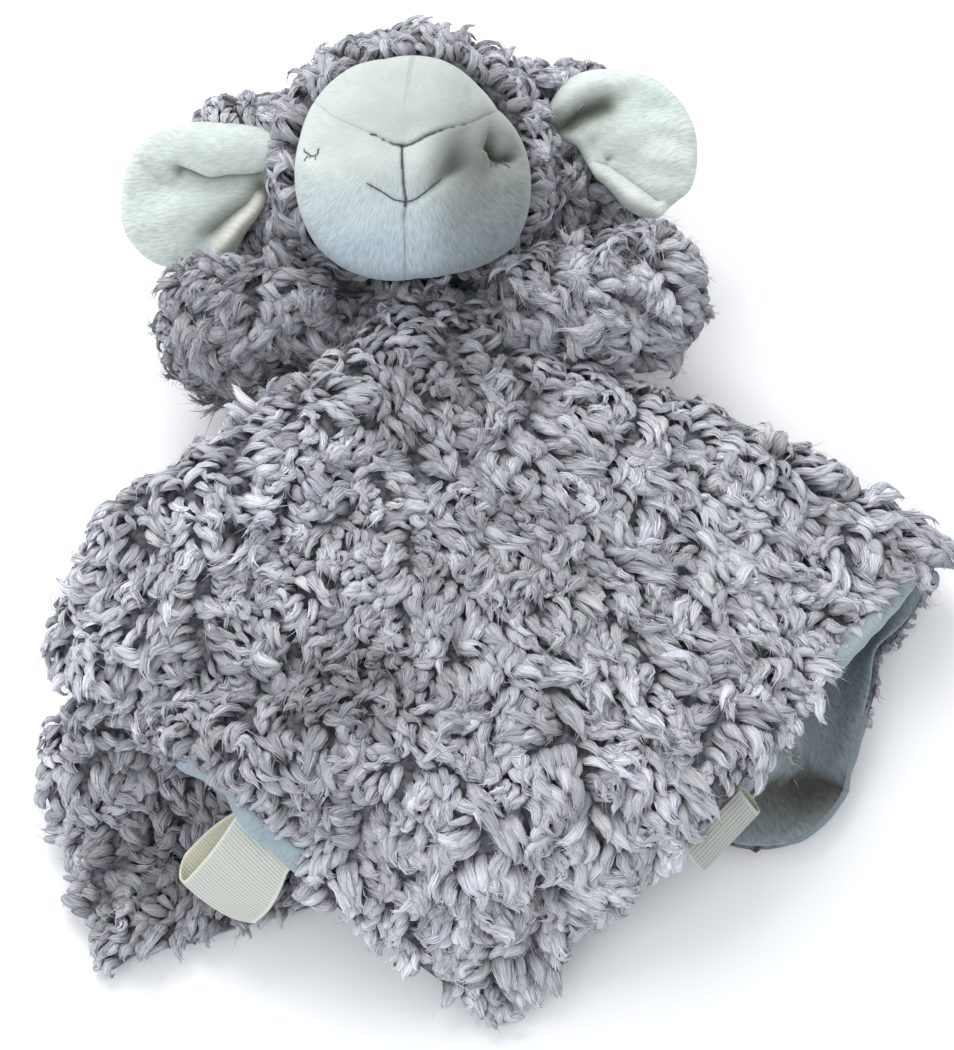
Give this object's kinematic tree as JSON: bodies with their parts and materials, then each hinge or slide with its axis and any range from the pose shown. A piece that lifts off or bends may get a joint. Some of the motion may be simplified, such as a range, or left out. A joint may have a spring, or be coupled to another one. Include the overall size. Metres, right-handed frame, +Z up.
{
  "type": "sheep comfort blanket",
  "caption": "Soft square baby comfort blanket of curly grey fleece with a stuffed sheep head, floppy ears, two arms and ribbon loops, lying folded on its back.",
  "frame": {"origin": "centre of the lowest plane of the toy's box, on the surface it lies on", "axes": "+Z up out of the surface, +Y from the blanket towards the head, +X to the right as seen from above"},
  "size_m": [0.2814, 0.3154, 0.1039],
  "materials": {
    "grey_fleece": "curly long-pile fleece",
    "pale_velour": "short velour nap",
    "cool_velour": "short velour nap",
    "thread": "twisted embroidery thread",
    "ribbon": "ribbed grosgrain weave",
    "fibrefill": "loose polyester fibre"
  },
  "bodies": {
    "blanket": {"blanket_fleece": "grey_fleece", "blanket_backing": "cool_velour"},
    "neck": {"neck_gather": "grey_fleece"},
    "head": {"head_back_cover": "grey_fleece", "face_top_panel": "pale_velour", "face_left_panel": "pale_velour", "face_right_panel": "pale_velour", "head_stuffing": "fibrefill", "nose_mouth_stitch": "thread", "eye_left_stitch": "thread", "eye_right_stitch": "thread"},
    "ear_left": {"ear_left_back": "grey_fleece", "ear_left_lining": "pale_velour"},
    "ear_right": {"ear_right_back": "grey_fleece", "ear_right_lining": "pale_velour"},
    "arm_left": {"arm_left_cover": "grey_fleece", "arm_left_stuffing": "fibrefill"},
    "arm_right": {"arm_right_cover": "grey_fleece", "arm_right_stuffing": "fibrefill"},
    "ribbon_left": {"ribbon_loop_left": "ribbon"},
    "ribbon_right": {"ribbon_loop_right": "ribbon"}
  },
  "joints": [
    {"name": "neck_turn", "type": "hinge", "parent": "blanket", "child": "neck", "pos_m": [-0.02533, 0.06622, 0.038], "axis": [0, 1, 0], "range_deg": [-10, 10], "stiffness_Nm_per_rad": 0.1},
    {"name": "neck_nod", "type": "hinge", "parent": "neck", "child": "head", "pos_m": [-0.02533, 0.07322, 0.042], "axis": [1, 0, 0], "range_deg": [0, 10], "stiffness_Nm_per_rad": 0.05},
    {"name": "ear_left_fold", "type": "hinge", "parent": "head", "child": "ear_left", "pos_m": [-0.07427, 0.10673, 0.04922], "axis": [0, 0.808, 0.5891], "range_deg": [-20, 20], "stiffness_Nm_per_rad": 0.01},
    {"name": "ear_right_fold", "type": "hinge", "parent": "head", "child": "ear_right", "pos_m": [0.01681, 0.1214, 0.05371], "axis": [0, -0.808, -0.5891], "range_deg": [-20, 20], "stiffness_Nm_per_rad": 0.01},
    {"name": "arm_left_lift", "type": "hinge", "parent": "blanket", "child": "arm_left", "pos_m": [-0.05333, 0.06422, 0.044], "axis": [0, 0.7071, 0.7071], "range_deg": [0, 40], "stiffness_Nm_per_rad": 0.05},
    {"name": "arm_right_lift", "type": "hinge", "parent": "blanket", "child": "arm_right", "pos_m": [0.00067, 0.06222, 0.046], "axis": [0, -0.7071, -0.7071], "range_deg": [0, 40], "stiffness_Nm_per_rad": 0.05},
    {"name": "ribbon_left_flap", "type": "hinge", "parent": "blanket", "child": "ribbon_left", "pos_m": [-0.06903, -0.11278, 0.0375], "axis": [-0.704, 0.673, 0.227], "range_deg": [-10, 20], "stiffness_Nm_per_rad": 0.002},
    {"name": "ribbon_right_flap", "type": "hinge", "parent": "blanket", "child": "ribbon_right", "pos_m": [0.06207, -0.10478, 0.036], "axis": [0.697, 0.685, 0.212], "range_deg": [-20, 10], "stiffness_Nm_per_rad": 0.002}
  ]
}
